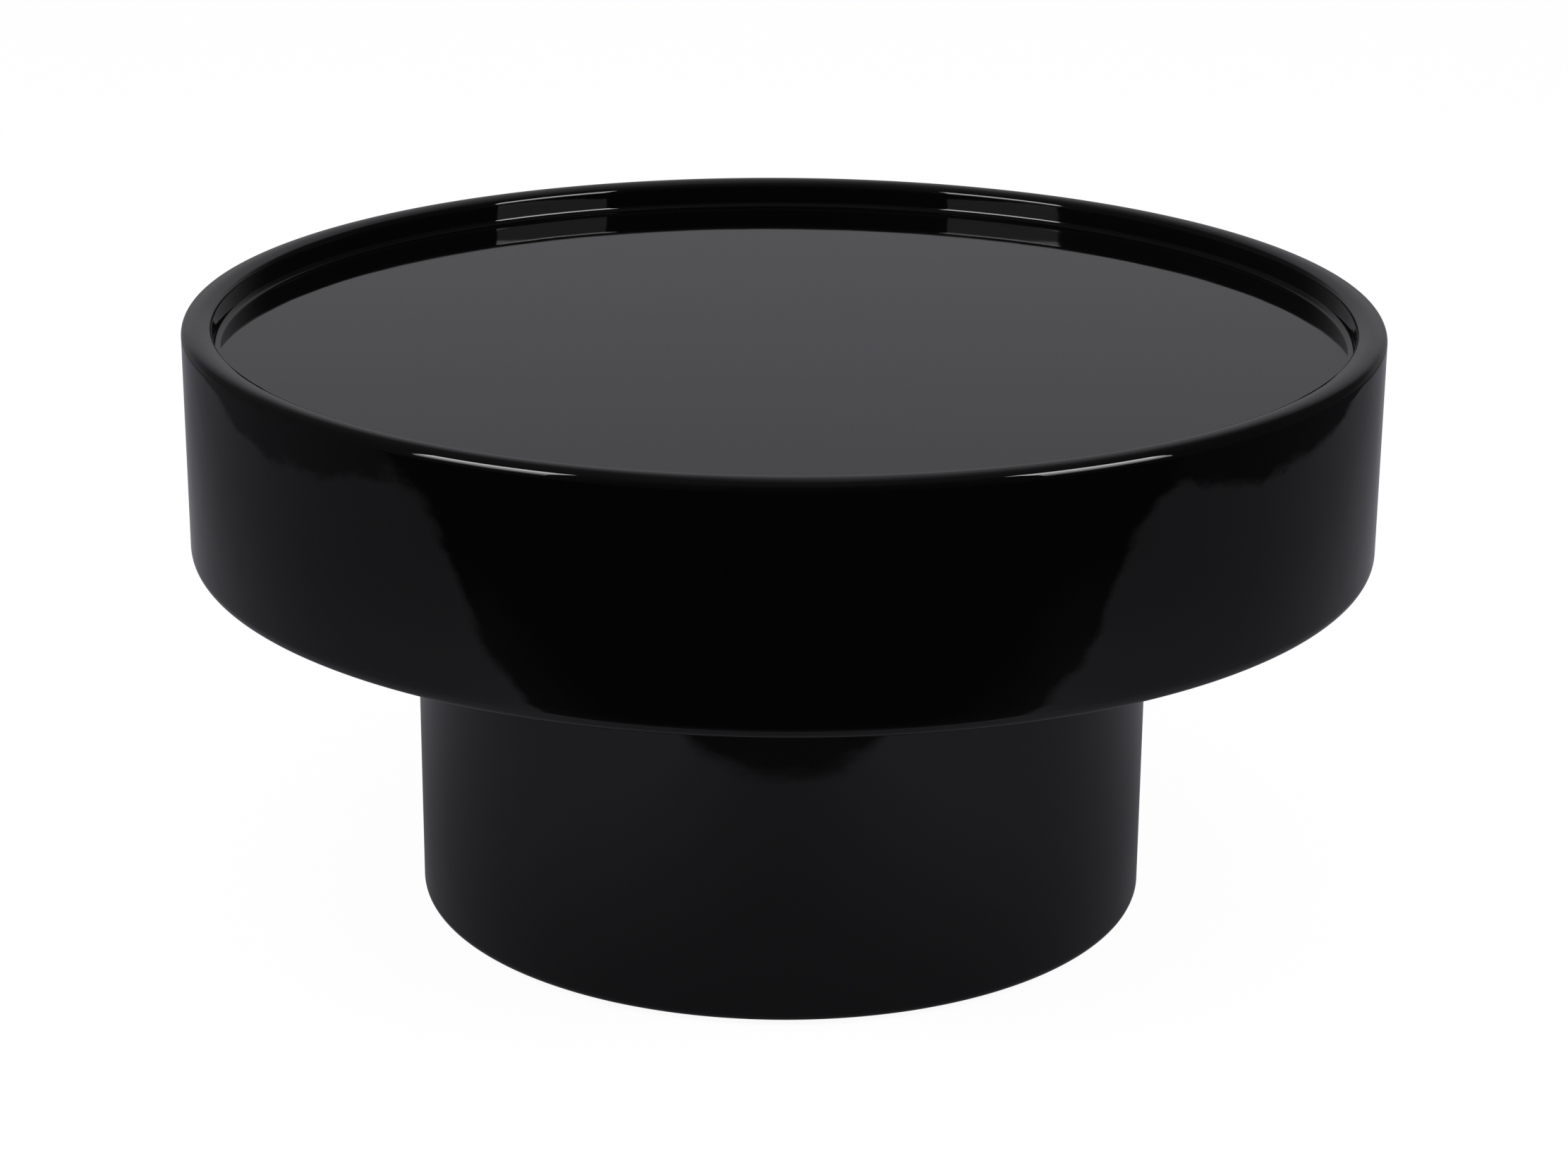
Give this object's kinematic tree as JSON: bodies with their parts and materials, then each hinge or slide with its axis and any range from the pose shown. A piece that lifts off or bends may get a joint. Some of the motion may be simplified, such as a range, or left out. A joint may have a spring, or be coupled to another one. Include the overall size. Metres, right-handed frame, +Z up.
{
  "type": "round cocktail table",
  "caption": "Round cocktail table: gloss black drum top with a sunk tray and rounded rim, on a narrower drum base with hidden levelling glides.",
  "frame": {"origin": "on the floor, under the middle of the table", "axes": "+Z up along the common axis of both drums, -Y to the side that faces the camera, +X to the right of the picture"},
  "size_m": [0.8, 0.8, 0.4135],
  "materials": {
    "black_lacquer": "high-gloss black polyester lacquer over laminated wood",
    "underside_paint": "satin black paint over fibreboard",
    "plywood": "raw birch plywood",
    "timber": "planed poplar",
    "zinc_plate": "bright zinc plate",
    "yellow_zinc": "yellow zinc plate",
    "nylon": "moulded black nylon"
  },
  "bodies": {
    "table": {"drum_hoop": "black_lacquer", "tray_panel": "black_lacquer", "tray_cove": "black_lacquer", "base_hoop": "black_lacquer", "underside_panel": "underside_paint", "base_foot_ring": "underside_paint", "tray_ledge": "plywood", "mounting_plate": "plywood", "base_top_panel": "plywood", "rib_front": "plywood", "rib_back": "plywood", "rib_left": "plywood", "rib_right": "plywood", "mounting_tee_nuts": "zinc_plate", "glide_tee_nuts": "zinc_plate", "base_bolts": "zinc_plate", "base_washers": "zinc_plate", "underside_screws": "yellow_zinc", "post_top_screws": "yellow_zinc", "post_foot_screws": "yellow_zinc", "base_post_right": "timber", "base_post_back": "timber", "base_post_left": "timber", "base_post_front": "timber"},
    "pad_back_right": {"glide_pad_back_right": "nylon"},
    "stem_back_right": {"glide_stem_back_right": "zinc_plate"},
    "pad_back_left": {"glide_pad_back_left": "nylon"},
    "stem_back_left": {"glide_stem_back_left": "zinc_plate"},
    "pad_front_left": {"glide_pad_front_left": "nylon"},
    "stem_front_left": {"glide_stem_front_left": "zinc_plate"},
    "pad_front_right": {"glide_pad_front_right": "nylon"},
    "stem_front_right": {"glide_stem_front_right": "zinc_plate"}
  },
  "joints": [
    {"name": "lift_back_right", "type": "slide", "parent": "table", "child": "pad_back_right", "axis": [0, 0, -1], "range_m": [0, 0.008]},
    {"name": "turn_back_right", "type": "hinge", "parent": "pad_back_right", "child": "stem_back_right", "pos_m": [0.13859, 0.13859, 0], "axis": [0, 0, -1], "range_deg": [0, 2304]},
    {"name": "lift_back_left", "type": "slide", "parent": "table", "child": "pad_back_left", "axis": [0, 0, -1], "range_m": [0, 0.008]},
    {"name": "turn_back_left", "type": "hinge", "parent": "pad_back_left", "child": "stem_back_left", "pos_m": [-0.13859, 0.13859, 0], "axis": [0, 0, -1], "range_deg": [0, 2304]},
    {"name": "lift_front_left", "type": "slide", "parent": "table", "child": "pad_front_left", "axis": [0, 0, -1], "range_m": [0, 0.008]},
    {"name": "turn_front_left", "type": "hinge", "parent": "pad_front_left", "child": "stem_front_left", "pos_m": [-0.13859, -0.13859, 0], "axis": [0, 0, -1], "range_deg": [0, 2304]},
    {"name": "lift_front_right", "type": "slide", "parent": "table", "child": "pad_front_right", "axis": [0, 0, -1], "range_m": [0, 0.008]},
    {"name": "turn_front_right", "type": "hinge", "parent": "pad_front_right", "child": "stem_front_right", "pos_m": [0.13859, -0.13859, 0], "axis": [0, 0, -1], "range_deg": [0, 2304]}
  ],
  "couplings": [
    {"joint": "turn_back_right", "follows": "lift_back_right", "rad_per_m": 5026.5},
    {"joint": "turn_back_left", "follows": "lift_back_left", "rad_per_m": 5026.5},
    {"joint": "turn_front_left", "follows": "lift_front_left", "rad_per_m": 5026.5},
    {"joint": "turn_front_right", "follows": "lift_front_right", "rad_per_m": 5026.5}
  ]
}
